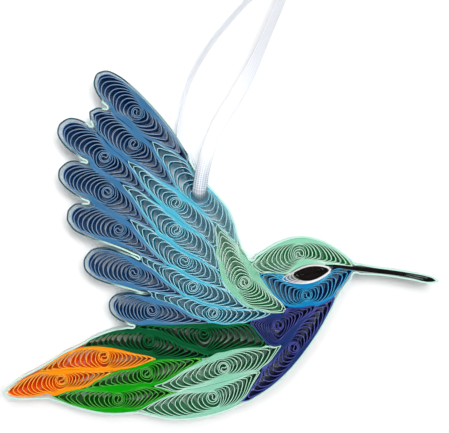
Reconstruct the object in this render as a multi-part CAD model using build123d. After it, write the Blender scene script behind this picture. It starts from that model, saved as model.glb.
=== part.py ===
from build123d import *
import math
import os
from dataclasses import dataclass

# A hummingbird of quilled paper, hung on a ribbon loop.
# The bird stands in the XZ plane with its front towards -Y, its beak towards +X and +Z up.
# The origin is the top of the ribbon loop, where the two strands run into the knot.
# All sizes are in millimetres.

# Paper strips
STRIP_DEPTH = 5.0        # width of the paper strips, which is the depth of the bird
PAPER = 0.19             # thickness of one turn of paper
TURNS_IN_WALL = 2        # turns that lie together in each wall between two gaps
GLUE_GAP = 0.05          # film of glue between neighbouring coils
PRESS = 0.12             # how far a coil spreads against the ones that are glued before it
FILL = 0.6               # how far a coil spreads where there is free room beside it
NOTCH_ROOM = 0.2         # open width between the contour strip's walls where it turns back in a notch

# Open turns of a coil
EYE_RADIUS = 0.85        # radius of the opening that is left in the middle of a coil
LEAST_GAP = 0.4          # where turns come nearer than this, they lie flat together
OUTWARD_OPENING = 1.25   # above 1, the gaps grow wider towards the outside
ROUNDING_ANGLE = 34.0    # degrees over which an inner turn rounds off the pinched ends

# Contour strip round the whole bird
CONTOUR_TURNS = 2        # paper layers in the contour strip

# Ribbon
RIBBON_WIDTH = 3.2
RIBBON_THICKNESS = 0.3
RIBBON_CLEARANCE = 0.35  # between the ribbon and the faces of the coil that carries it
BEND_SHARE = 0.45        # share of a straight run that each bend beside it takes
RIBBON_FOLD = 0.9        # radius of the ribbon's middle where it folds round the rim of the coil
SLOT_SIDE_CLEARANCE = 0.3
SLOT_HEIGHT = 1.3        # opening that the ribbon passes through, across the ribbon
HANG_EYE = (-25.1, -59.3)  # X and Z of that opening, from the top of the loop

# Knot at the top of the loop
KNOT_DIAMETER = 4.4
KNOT_HEIGHT = 3.4
KNOT_EDGE = 1.1          # sloping rims of the knot
TAIL_LENGTH = 6.0        # of each ribbon end above the knot
TAIL_SPREAD = 22.0       # degrees between each ribbon end and the vertical
STRAND_SPACING = 0.8     # between the middles of the two strands where they enter the knot

# Facets
SIDE_FACETS = 9          # along each side of a coil
EYE_FACETS = 8
ARC_FACETS = 4           # along each bend of the ribbon
FACET_TOLERANCE = 0.3    # how far the facets of a gap may lie from its curve
EDGE_TOLERANCE = 0.04    # how far a coil's edge may lie from its pressed outline
SHORTEST_GAP = 1.5       # a gap is left out where its two ends are nearer than this
SPOKES = 96              # places round a coil's edge at which its turns are worked out
EDGE_REACH = 2           # places to each side between which the edge's direction is taken
SHARPEST_MITRE = 0.3     # keeps a pinched end from growing long when its outline moves out
SPIKE_TURN = -0.1        # cosine of the turn above which a corner is a spike
END_REACH = 2.5          # a coil's own pinched ends lie within this of its tip and end
NOTCH_WIDTH = 1.7        # a corner that turns in sharply enough to have this or less is a notch
LEAST_SQUARENESS = 0.3   # keeps walls from growing thick where a spoke runs along an edge
LEAST_STEP = 0.03        # a spoke stops being shortened once it is this near a wall's thickness
SAME_ANGLE = 0.001       # radians


@dataclass(frozen=True)
class Coil:
    """One rolled strip, pinched to shape and glued by its edge to its neighbours.

    Its outline runs from tip to end. left and right are the offsets of its two sides from the
    straight line between them, at even steps of a half circle drawn over that line, so that a
    round end takes a large first offset and a pinched one a small one. Places are measured from
    the opening that the ribbon passes through.
    """
    name: str
    tip: tuple
    end: tuple
    left: tuple
    right: tuple
    eye: tuple = None
    gap_count: int = 4
    eye_radius: float = EYE_RADIUS


# The coils in the order in which they are glued
COILS = (
    Coil("shoulder", (4.4, -6.7), (19.5, -26.6), (-0.2, 0.4, 0.3, 0.3), (-1.5, -4.6, -6.5, -5.4, -2.3),
         (10.5, -19.8), gap_count=5),
    Coil("crown", (12.0, -16.3), (34.9, -15.7), (2.4, 5.5, 5.7, 2.4), (-0.7, -1.6, -0.6, 0.5, 0.2),
         (23.1, -13.3)),
    Coil("face", (13.3, -18.2), (35.4, -17.0), (0.1, -0.1, -2.5, -0.9, 0.2), (-2.2, -6.4, -7.6, -6.1, -1.8),
         (24.7, -22.8)),
    Coil("secondary_1", (-9.9, 11.7), (8.9, -11.0), (1.2, 2.8, 3.0, 3.0, 1.0), (-0.9, -2.0, -1.0, -0.3),
         (0.0, 0.0), eye_radius=RIBBON_WIDTH / 2 + SLOT_SIDE_CLEARANCE),
    Coil("secondary_2", (-15.6, 7.6), (4.3, -11.5), (0.7, 2.0, 3.1, 1.9), (-1.0, -1.8, -0.8), (-5.3, -1.6)),
    Coil("secondary_3", (-16.6, 1.8), (4.6, -16.6), (0.6, 1.7, 3.1, 1.8), (-1.2, -2.9, -1.0), (-5.3, -7.8)),
    Coil("secondary_4", (-14.9, -6.0), (6.7, -21.8), (0.5, 1.1, 2.1, 1.1), (-1.4, -2.9, -1.1), (-3.4, -14.9)),
    Coil("secondary_5", (-13.1, -14.3), (11.0, -26.0), (0.4, 1.4, 2.3, 0.9), (-1.4, -3.3, -1.5),
         (-1.4, -20.9)),
    Coil("secondary_6", (-11.3, -22.1), (16.3, -27.1), (0.0, 0.2, -0.1, 0.4), (-0.7, -2.2, -4.2, -3.4, -1.2),
         (3.2, -26.9)),
    Coil("primary_1", (-23.2, 27.8), (-2.5, 7.8), (2.2, 3.1, 3.0, 2.1, 0.8), (-3.1, -2.9, -0.7),
         (-14.3, 19.3)),
    Coil("primary_2", (-24.7, 19.1), (-5.3, 1.8), (2.6, 3.3, 2.8, 0.9), (-1.2, -2.6, -2.6, -1.5, -0.4),
         (-14.9, 12.0)),
    Coil("primary_3", (-31.7, 16.3), (-11.5, 0.2), (3.1, 3.6, 2.6, 0.7), (-2.7, -1.9, -0.3), (-21.7, 9.0)),
    Coil("primary_4", (-31.7, 6.0), (-10.3, -7.6), (3.0, 4.4, 4.4, 2.5, 0.6), (-2.5, -1.9, -0.6),
         (-21.1, 0.9)),
    Coil("primary_5", (-29.7, -3.4), (-7.6, -15.9), (2.5, 3.9, 4.0, 2.0, 0.5), (-2.9, -1.45, -0.5),
         (-18.4, -7.6)),
    Coil("primary_6", (-26.0, -14.7), (-3.4, -23.4), (3.5, 4.15, 3.1, 0.9), (-2.7, -1.95, -0.5),
         (-14.9, -17.5)),
    Coil("primary_7", (-20.3, -24.6), (2.1, -29.0), (2.7, 2.7, 1.0), (-3.1, -2.8, -0.9), (-10.8, -26.2)),
    Coil("breast_2", (31.3, -23.2), (9.7, -47.6), (0.7, 2.1, 3.0, 2.6, 0.9), (-0.6, -1.8, -1.6, -1.2, 0.0),
         (21.8, -34.9), gap_count=5),
    Coil("breast_1", (12.0, -28.7), (26.7, -25.3), (0.1, 0.5, 0.3), (-2.0, -6.4, -6.5, -3.5, -1.2),
         (18.2, -29.7)),
    Coil("belly_1", (-9.2, -43.7), (18.9, -34.4), (0.5, 1.7, 2.6, 1.8, 0.1), (-1.5, -3.0, -3.6, -3.7, -1.9),
         (5.7, -39.5), gap_count=5),
    Coil("belly_2", (-13.1, -49.2), (14.5, -40.7), (0.7, 1.4, 0.9, 0.7), (-1.5, -4.1, -5.4, -4.9, -2.2),
         (3.1, -46.2), gap_count=5),
    Coil("rump_1", (-13.8, -29.9), (15.2, -34.6), (0.3, 1.2, 2.3, 3.5, 4.5, 1.8),
         (-0.2, -1.3, -3.4, -2.2, -0.5), (1.1, -31.8)),
    Coil("rump_2", (-26.4, -34.5), (2.1, -37.0), (1.3, 3.4, 5.0, 4.6, 2.3, 0.7), (0.2, 0.2, -0.9, -1.0, -0.4),
         (-11.5, -33.3)),
    Coil("tail_orange_1", (-36.1, -40.0), (-10.1, -37.5), (1.5, 4.1, 3.3, 1.0), (-0.2, -0.7, -1.6, -0.7),
         (-21.9, -36.9)),
    Coil("tail_orange_2", (-44.6, -45.3), (-19.8, -40.2), (1.5, 3.2, 2.3, 0.7), (-1.8, -2.5, -1.2),
         (-31.7, -42.4)),
    Coil("tail_green_1", (-25.3, -44.1), (1.1, -37.6), (1.5, 2.6, 1.2), (-0.4, -1.9, -2.8, -0.7),
         (-12.1, -40.7)),
    Coil("tail_green_2", (-34.0, -46.1), (-5.3, -45.4), (0.4, 1.5, 1.7, 1.8, 0.7),
         (-0.6, -2.7, -4.0, -3.0, -0.8), (-18.6, -46.7)),
)

# The almond of the eye: a white ring round a tight dark roll
EYE_RING = Coil("eye_ring", (19.3, -19.1), (30.3, -16.9), (0.9, 2.0, 1.3), (-1.0, -2.0, -1.2))
EYE_CORE = Coil("eye_core", (21.6, -18.2), (29.8, -17.1), (0.7, 1.3, 0.9), (-1.2, -1.7, -0.8))

# The beak: a folded black strip that runs on into the line behind the eye
BEAK = Coil("beak", (29.0, -15.9), (54.4, -19.5), (0.15, 0.6, 0.8, 0.55), (-0.05, -0.1, 0.1, -0.15))

OUTER_PIECES = (EYE_RING, BEAK, *COILS)
RIBBON_COIL = "secondary_1"

# Route of the ribbon's two strands from the slot up to the knot, X and Z from the slot
FRONT_STRAND = ((1.0, 7.0), (3.7, 15.5), (10.2, 25.5), (15.0, 35.5))
BACK_STRAND = ((-3.0, 8.5), (-4.6, 18.5), (-1.6, 29.5), (6.2, 41.5))
STRAND_LEAN = 1.2        # how far a strand stands off the bird half-way up, on top of its clearance


def direction(start, finish):
    """Unit vector from one point to another."""
    step = (finish[0] - start[0], finish[1] - start[1])
    length = math.hypot(*step)
    return (step[0] / length, step[1] / length)


def side(coil, offsets):
    """Points of one side of a coil's outline, from just after its tip to just before its end."""
    along = direction(coil.tip, coil.end)
    length = math.dist(coil.tip, coil.end)
    steps = len(offsets) + 1
    waves = []
    for wave in range(1, steps):
        sines = [offset * math.sin(wave * at * math.pi / steps) for at, offset in enumerate(offsets, 1)]
        waves.append(2 / steps * sum(sines))
    points = []
    for step in range(1, SIDE_FACETS):
        angle = math.pi * step / SIDE_FACETS
        forward = length * (1 - math.cos(angle)) / 2
        sideways = sum(size * math.sin(wave * angle) for wave, size in enumerate(waves, 1))
        points.append((coil.tip[0] + along[0] * forward - along[1] * sideways,
                       coil.tip[1] + along[1] * forward + along[0] * sideways))
    return points


def outline(coil, spread=0.0):
    """Closed outline of a coil, clockwise from its tip, moved outwards by spread."""
    return moved([coil.tip, *side(coil, coil.left), coil.end, *reversed(side(coil, coil.right))], spread)


def corner_turns(points):
    """Each corner of a closed outline with the unit direction of the edge before and after it."""
    following = [*points[1:], points[0]]
    return [
        (corner, direction(points[index - 1], corner), direction(corner, following[index]))
        for index, corner in enumerate(points)
    ]


def is_notch(before, after):
    """Whether a clockwise outline turns sharply inwards between two edges."""
    turns_left = before[0] * after[1] > before[1] * after[0]
    return turns_left and math.hypot(before[0] + after[0], before[1] + after[1]) < NOTCH_WIDTH


def moved(points, spread):
    """Closed clockwise outline moved outwards by spread, or inwards where that is negative.

    A notch gets a blunt end when the outline moves inwards.
    """
    places = []
    for (x, z), before, after in corner_turns(points):
        outward = (-before[1] - after[1], before[0] + after[0])
        width = math.hypot(*outward)
        if spread < 0 and is_notch(before, after):
            middle = (outward[0] / width, outward[1] / width)
            for normal in ((-before[1], before[0]), middle, (-after[1], after[0])):
                places.append((x + normal[0] * spread, z + normal[1] * spread))
        else:
            stretch = spread / max(SHARPEST_MITRE, width ** 2 / 2)
            places.append((x + outward[0] * stretch, z + outward[1] * stretch))
    return places


def polygon(points):
    """Flat face with the given corners."""
    return make_face(Polyline(*points, close=True)).face()


def largest(shape):
    """The largest face of a cut shape, without the crumbs that a cut leaves beside it."""
    return max(shape.faces(), key=lambda face: face.area)


def largest_solid(shape):
    """The largest solid of a cut shape."""
    return max(shape.solids(), key=lambda solid: solid.volume)


def silhouette(spread):
    """Face within the outer edge of all the pieces together, without the slits between them."""
    reach = PRESS + GLUE_GAP + CONTOUR_TURNS * PAPER + NOTCH_ROOM / 2
    together = Sketch() + [polygon(outline(piece, reach)) for piece in OUTER_PIECES]
    corners = simplified(clockwise(corners_of(largest(together))))
    notches = [corner for corner, before, after in corner_turns(corners) if is_notch(before, after)]
    crowded = [
        corner for corner in corners
        if corner not in notches and min(math.dist(corner, notch) for notch in notches) < reach
    ]
    return polygon(moved([corner for corner in corners if corner not in crowded], spread - reach))


def clockwise(corners):
    """The corners of a closed outline, turned round if they run anticlockwise."""
    turn = sum(a[0] * b[1] - b[0] * a[1] for a, b in zip(corners, corners[1:] + corners[:1]))
    return corners[::-1] if turn > 0 else corners


def without_spikes(coil, corners):
    """Clockwise corners without the sharp ones that point out beside neither end of the coil."""
    kept = []
    for corner, before, after in corner_turns(corners):
        turns_right = before[0] * after[1] < before[1] * after[0]
        sharp = before[0] * after[0] + before[1] * after[1] < SPIKE_TURN
        at_end = min(math.dist(corner, coil.tip), math.dist(corner, coil.end)) < END_REACH
        if at_end or not (turns_right and sharp):
            kept.append(corner)
    return kept


def cut(face, coil, others, spread):
    """A face of one coil, cut back to the other coils' outlines."""
    for other in others:
        blade = polygon(outline(other, spread))
        if other is not coil and face.bounding_box().overlaps(blade.bounding_box()):
            face = largest(face - blade)
    return face


def pressed_faces():
    """Face of each outer piece, pressed against the ones before it.

    The rolled coils also spread into the free room beside them, which the eye and the beak,
    glued hard and first, don't.
    """
    faces = {}
    inside = silhouette(PRESS)
    for index, piece in enumerate(OUTER_PIECES):
        earlier = OUTER_PIECES[:index]
        face = cut(polygon(outline(piece, PRESS)), piece, earlier, PRESS + GLUE_GAP)
        if piece in COILS:
            firm = [other for other in earlier if other not in COILS]
            soft = [other for other in earlier if other in COILS]
            spread = cut(polygon(outline(piece, FILL)), piece, soft, FILL + GLUE_GAP)
            spread = cut(spread, piece, firm + list(OUTER_PIECES[index:]), PRESS + GLUE_GAP)
            face = largest(Sketch() + [face, spread])
            face = polygon(simplified(without_spikes(piece, clockwise(corners_of(largest(face & inside))))))
        faces[piece.name] = largest(face & inside)
    return faces


def corners_of(face):
    """Corners of a face's outer edge, in order."""
    return [tuple(edge @ 0)[:2] for edge in face.outer_wire().order_edges()]


def hidden(start, ray, length, corners):
    """Whether a spoke crosses the closed outline before it reaches its own place on it."""
    for before, after in zip(corners, corners[1:] + corners[:1]):
        edge = (after[0] - before[0], after[1] - before[1])
        off = (before[0] - start[0], before[1] - start[1])
        turn = ray[0] * edge[1] - ray[1] * edge[0]
        if abs(turn) > SAME_ANGLE:
            reach = (off[0] * edge[1] - off[1] * edge[0]) / turn
            share = (off[0] * ray[1] - off[1] * ray[0]) / turn
            if 0 < reach < length - LEAST_STEP and 0 <= share <= 1:
                return True
    return False


def spokes(coil, face):
    """Lines from the eye to evenly spaced points of the coil's edge, in order of angle.

    Each is its unit direction, its angle, its length, and how squarely it meets the edge.
    """
    edge = face.outer_wire()
    corners = corners_of(face)
    places = [edge @ (count / SPOKES) for count in range(SPOKES)]
    lines = []
    for index, place in enumerate(places):
        at = (place.X, place.Y)
        before = places[index - EDGE_REACH]
        after = places[(index + EDGE_REACH) % SPOKES]
        along = direction((before.X, before.Y), (after.X, after.Y))
        ray = direction(coil.eye, at)
        length = math.dist(coil.eye, at)
        square = abs(ray[0] * along[1] - ray[1] * along[0])
        if not hidden(coil.eye, ray, length, corners):
            lines.append((ray, math.atan2(ray[1], ray[0]), length, max(square, LEAST_SQUARENESS)))
    return sorted(lines, key=lambda line: line[1])


def edge_distance(point, corners):
    """Shortest distance from a point to a closed outline."""
    best = math.inf
    for start, finish in zip(corners, corners[1:] + corners[:1]):
        along = direction(start, finish)
        off = (point[0] - start[0], point[1] - start[1])
        forward = off[0] * along[0] + off[1] * along[1]
        forward = min(max(forward, 0), math.dist(start, finish))
        best = min(best, math.hypot(off[0] - along[0] * forward, off[1] - along[1] * forward))
    return best


def inner_reach(coil, face, lines, wall):
    """How far each spoke reaches before it comes within a wall's thickness of the coil's edge."""
    corners = corners_of(face)
    reaches = []
    for ray, _, length, _ in lines:
        reach = length - wall
        excess = wall - edge_distance(along_ray(coil, ray, reach), corners)
        while excess > LEAST_STEP and reach > 0:
            reach -= excess
            excess = wall - edge_distance(along_ray(coil, ray, reach), corners)
        reaches.append(reach)
    return reaches


def along_ray(coil, ray, reach):
    """Point at a distance from the eye of a coil."""
    return (coil.eye[0] + ray[0] * reach, coil.eye[1] + ray[1] * reach)


def rounded(lines, window):
    """Length of each spoke, averaged with the spokes that lie within a window of angle."""
    lengths = []
    for _, middle, _, _ in lines:
        total = 0.0
        weight = 0.0
        for index, (_, angle, length, _) in enumerate(lines):
            turn = math.remainder(angle - middle, math.tau)
            if abs(turn) <= window:
                share = abs(math.remainder(angle - lines[index - 1][1], math.tau)) + SAME_ANGLE
                total += length * share
                weight += share
        lengths.append(total / weight)
    return lengths


def walls(coil, face):
    """Inner and outer distance from the eye, on each spoke, of each wall from the outside in.

    A turn keeps to a rounder copy of the turn outside it where it has room, and lies flat
    against that turn where it has none.
    """
    lines = spokes(coil, face)
    wall = PAPER * TURNS_IN_WALL
    outer = [length for _, _, length, _ in lines]
    inner = inner_reach(coil, face, lines, wall)
    stack = [(inner, outer)]
    for number in range(coil.gap_count - 1, -1, -1):
        share = number / coil.gap_count
        smooth = rounded(lines, math.radians(ROUNDING_ANGLE) * (1 - share))
        start = coil.eye_radius + wall
        outer = [
            min(start + max(length - start, 0) * share ** OUTWARD_OPENING, limit)
            for length, limit in zip(smooth, inner)
        ]
        inner = [
            reach - wall / (1 - (1 - square) * share)
            for reach, (_, _, _, square) in zip(outer, lines)
        ]
        stack.append((inner, outer))
    return lines, stack


def runs(flags):
    """Runs of true flags in a closed ring, as lists of places."""
    count = len(flags)
    found = []
    for first in range(count):
        if flags[first] and not flags[first - 1]:
            run = [first]
            while flags[(run[-1] + 1) % count] and len(run) < count:
                run.append((run[-1] + 1) % count)
            found.append(run)
    return found


def faceted(points, tolerance):
    """The fewest of the points whose straight facets stay within a tolerance of them all."""
    start = points[0]
    finish = points[-1]
    along = direction(start, finish)
    offs = [abs((x - start[0]) * along[1] - (z - start[1]) * along[0]) for x, z in points]
    farthest = max(range(len(points)), key=offs.__getitem__)
    if offs[farthest] <= tolerance:
        return [start, finish]
    return faceted(points[:farthest + 1], tolerance)[:-1] + faceted(points[farthest:], tolerance)


def simplified(corners):
    """The corners of a closed outline without those that hardly change its shape."""
    middle = len(corners) // 2
    first = faceted(corners[:middle + 1], EDGE_TOLERANCE)
    second = faceted([*corners[middle:], corners[0]], EDGE_TOLERANCE)
    return first[:-1] + second[:-1]


def gap_wires(coil, face):
    """Edges of the crescent gaps between a coil's walls."""
    lines, stack = walls(coil, face)
    wires = []
    for (limit, _), (_, reach) in zip(stack, stack[1:]):
        for run in runs([outside - inside > LEAST_GAP for outside, inside in zip(limit, reach)]):
            far = [along_ray(coil, lines[index][0], limit[index]) for index in run]
            near = [along_ray(coil, lines[index][0], reach[index]) for index in reversed(run[1:-1])]
            near = [far[-1], *near, far[0]]
            if math.dist(far[0], far[-1]) < SHORTEST_GAP:
                continue
            ring = faceted(far, FACET_TOLERANCE)[:-1] + faceted(near, FACET_TOLERANCE)[:-1]
            if len(ring) < 3:
                continue
            wires.append(Polyline(*ring, close=True).wire())
    return wires


def eye_wire(coil):
    """Edge of the opening in the middle of a coil."""
    ring = []
    for count in range(EYE_FACETS):
        angle = math.tau * count / EYE_FACETS
        ring.append((coil.eye[0] + coil.eye_radius * math.cos(angle),
                     coil.eye[1] + coil.eye_radius * math.sin(angle)))
    return Polyline(*ring, close=True).wire()


def slot_wire():
    """Edge of the opening that the ribbon passes through."""
    width = RIBBON_WIDTH + 2 * SLOT_SIDE_CLEARANCE
    corner = SLOT_HEIGHT / 3
    x = width / 2
    z = SLOT_HEIGHT / 2
    ring = [(x, z - corner), (x - corner, z), (corner - x, z), (-x, z - corner),
            (-x, corner - z), (corner - x, -z), (x - corner, -z), (x, corner - z)]
    return Polyline(*ring, close=True).wire()


def strip(face):
    """Solid of one strip depth from a face drawn in X and Z from the slot."""
    return extrude(Plane.XZ * Pos(*HANG_EYE) * face, amount=STRIP_DEPTH / 2, both=True)


def contour_face():
    """The strip that runs round the outside of all the coils."""
    inside = PRESS + GLUE_GAP
    return silhouette(inside + CONTOUR_TURNS * PAPER) - silhouette(inside)


def strand(points, side_of_bird):
    """Places of one strand of the ribbon, from the slot up to the knot."""
    low = STRIP_DEPTH / 2 + RIBBON_CLEARANCE + RIBBON_THICKNESS / 2
    top = (-HANG_EYE[0], -HANG_EYE[1])
    inside_knot = (top[0], top[1] + KNOT_HEIGHT / 2)
    places = []
    for x, z in ((0, 0), *points, inside_knot):
        share = z / inside_knot[1]
        stand_off = low + (STRAND_SPACING / 2 - low) * share + STRAND_LEAN * math.sin(math.pi * share)
        places.append((x + HANG_EYE[0], side_of_bird * stand_off, z + HANG_EYE[1]))
    return places


def ribbon():
    """The ribbon: down from the knot, through the slot and up again, as one flat band."""
    route = [*reversed(strand(FRONT_STRAND, -1)), *strand(BACK_STRAND, 1)]
    radii = []
    for before, at, after in zip(route, route[1:], route[2:]):
        turn = (Vector(*at) - Vector(*before)).get_angle(Vector(*after) - Vector(*at))
        shorter = min(math.dist(before, at), math.dist(at, after))
        radii.append(BEND_SHARE * shorter / math.tan(math.radians(turn) / 2))
    folds = (len(FRONT_STRAND), len(FRONT_STRAND) + 1)
    for fold in folds:
        radii[fold] = RIBBON_FOLD
    print("ribbon arcs", [round(radius, 2) for radius in radii])
    path = FilletPolyline(*route, radius=radii)
    sections = []
    for edge in path.edges():
        steps = 1 if edge.geom_type == GeomType.LINE else ARC_FACETS
        for step in range(steps):
            sections.append(ribbon_section(edge @ (step / steps), edge % (step / steps)))
    sections.append(ribbon_section(path @ 1, path % 1))
    band = Solid.make_loft(sections, ruled=True)
    expected = path.length * RIBBON_WIDTH * RIBBON_THICKNESS
    print("ribbon volume", round(band.volume, 1), "of", round(expected, 1))
    return largest_solid(band - knot())


def ribbon_section(at, along):
    """Cross-section of the ribbon, wide in X and thin across its run."""
    wide = (Vector(1, 0, 0) - along * along.X).normalized() * (RIBBON_WIDTH / 2)
    thin = along.cross(wide).normalized() * (RIBBON_THICKNESS / 2)
    corners = (at + wide + thin, at - wide + thin, at - wide - thin, at + wide - thin)
    return Polyline(*corners, close=True).wire()


def knot():
    """The knot on the origin, with the two ends of the ribbon above it."""
    body = Pos(0, 0, KNOT_HEIGHT / 2) * Cylinder(KNOT_DIAMETER / 2, KNOT_HEIGHT)
    body = chamfer(body.edges(), KNOT_EDGE)
    length = KNOT_HEIGHT / 2 + TAIL_LENGTH
    for lean in (-TAIL_SPREAD, TAIL_SPREAD):
        tail = Pos(0, 0, length / 2) * Box(RIBBON_WIDTH, RIBBON_THICKNESS, length)
        body += Pos(0, 0, KNOT_HEIGHT / 2) * Rot(0, lean, 0) * tail
    return body


def main():
    os.makedirs("parts", exist_ok=True)
    faces = pressed_faces()
    shapes = {"beak": faces["beak"]}
    shapes["eye_core"] = polygon(outline(EYE_CORE))
    shapes["eye_ring"] = faces["eye_ring"] - polygon(outline(EYE_CORE, GLUE_GAP))
    shapes["contour"] = contour_face()
    for coil in COILS:
        face = faces[coil.name]
        opening = slot_wire() if coil.name == RIBBON_COIL else eye_wire(coil)
        shapes[coil.name] = Face(face.outer_wire(), [opening, *gap_wires(coil, face)])
    solids = {name: strip(face) for name, face in shapes.items()}
    solids["ribbon"] = ribbon()
    solids["ribbon_knot"] = knot()
    for name, solid in solids.items():
        export_step(solid, f"parts/{name}.step")


main()
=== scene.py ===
"""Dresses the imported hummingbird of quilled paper: its rolled strips, contour, eye, beak and ribbon.

The bird stands in the XZ plane with its front towards -Y. All sizes are in metres.
"""

from __future__ import annotations

import logging
import math
from dataclasses import dataclass
from enum import Enum
from typing import Sequence

import bpy
import numpy as np
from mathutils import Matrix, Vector

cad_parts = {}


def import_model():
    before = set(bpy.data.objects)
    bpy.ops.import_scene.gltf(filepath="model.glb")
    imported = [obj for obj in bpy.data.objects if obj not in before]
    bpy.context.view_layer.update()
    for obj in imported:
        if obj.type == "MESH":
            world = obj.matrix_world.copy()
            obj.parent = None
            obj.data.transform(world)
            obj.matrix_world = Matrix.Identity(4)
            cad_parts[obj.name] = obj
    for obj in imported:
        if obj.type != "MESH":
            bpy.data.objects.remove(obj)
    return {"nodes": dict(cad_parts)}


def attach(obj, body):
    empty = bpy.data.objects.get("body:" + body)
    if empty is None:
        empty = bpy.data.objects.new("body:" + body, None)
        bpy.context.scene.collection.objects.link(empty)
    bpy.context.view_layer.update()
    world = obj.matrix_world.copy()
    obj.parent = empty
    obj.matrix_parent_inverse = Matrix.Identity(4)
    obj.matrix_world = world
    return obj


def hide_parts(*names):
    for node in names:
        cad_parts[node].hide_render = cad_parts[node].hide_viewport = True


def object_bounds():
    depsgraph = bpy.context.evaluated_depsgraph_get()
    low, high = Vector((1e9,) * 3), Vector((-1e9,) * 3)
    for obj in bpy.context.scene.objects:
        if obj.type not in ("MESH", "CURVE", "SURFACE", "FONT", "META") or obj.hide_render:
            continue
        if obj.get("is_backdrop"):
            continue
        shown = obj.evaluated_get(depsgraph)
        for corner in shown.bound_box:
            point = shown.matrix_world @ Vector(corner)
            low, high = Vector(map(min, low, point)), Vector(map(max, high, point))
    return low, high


logging.basicConfig(level=logging.INFO, format="%(message)s")
LOG = logging.getLogger("hummingbird")

MM = 0.001
PAPER = 0.165 * MM
STRIP_DEPTH = 5.0 * MM
BODY = "root"
WEAVE_MAP = "ribbon"
WAVE_SCALE = 0.314      # scale of a wave texture times the distance between its waves

# Place of the ribbon's slot in the row frame
SLOT_X = -25.1 * MM
SLOT_Z = -59.3 * MM


def linear(hex_colour: str) -> tuple[float, float, float, float]:
    """Turns an sRGB hex colour into the linear values that a shader takes.

    Args:
        hex_colour: Six hex digits, such as "2E6DB4".

    Returns:
        Linear red, green, blue and an alpha of one.
    """
    parts = [int(hex_colour[i:i + 2], 16) / 255 for i in (0, 2, 4)]
    values = [p / 12.92 if p <= 0.04045 else ((p + 0.055) / 1.055) ** 2.4 for p in parts]
    return (values[0], values[1], values[2], 1.0)


def add_node(tree: bpy.types.NodeTree, kind: str, values: dict | None = None,
             links: dict | None = None, **settings: object) -> bpy.types.Node:
    """Adds one shader node with its settings, socket values and incoming links.

    Args:
        tree: The node tree that it goes into.
        kind: Blender's name for the node type.
        values: Input socket name or index to its constant value.
        links: Input socket name or index to the output socket that feeds it.
        **settings: Properties of the node itself.

    Returns:
        The new node.
    """
    node = tree.nodes.new(kind)
    for name, value in settings.items():
        setattr(node, name, value)
    for name, value in (values or {}).items():
        node.inputs[name].default_value = value
    for name, source in (links or {}).items():
        tree.links.new(source, node.inputs[name])
    return node


def seen_directly(tree: bpy.types.NodeTree) -> bpy.types.NodeSocket:
    """Finds what is seen straight, in a mirror or through clear matter.

    Args:
        tree: The node tree that it works in.

    Returns:
        A socket that is 1 for the eye and 0 for light that falls on other things.
    """
    path = add_node(tree, "ShaderNodeLightPath")
    mirrored = add_node(tree, "ShaderNodeMath", links={0: path.outputs["Is Glossy Ray"],
                                                       1: path.outputs["Is Transmission Ray"]},
                        operation="MAXIMUM")
    seen = add_node(tree, "ShaderNodeMath", links={0: path.outputs["Is Camera Ray"],
                                                   1: mirrored.outputs["Value"]}, operation="MAXIMUM")
    return seen.outputs["Value"]


def new_material(name: str, roughness: float, gloss: float = 0.5
                 ) -> tuple[bpy.types.Material, bpy.types.NodeTree, bpy.types.Node]:
    """Starts a material.

    Args:
        name: Name of the real material.
        roughness: Roughness of its surface.
        gloss: Specular level of its surface.

    Returns:
        The material, its node tree and its main shader.
    """
    material = bpy.data.materials.new(name)
    material.use_nodes = True
    tree = material.node_tree
    shader = tree.nodes["Principled BSDF"]
    shader.inputs["Roughness"].default_value = roughness
    shader.inputs["Specular IOR Level"].default_value = gloss
    return material, tree, shader


class Placement(Enum):
    """Which faces of a strip take which of its two finishes."""

    FACE = 0
    CUT_EDGE = 1


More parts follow.
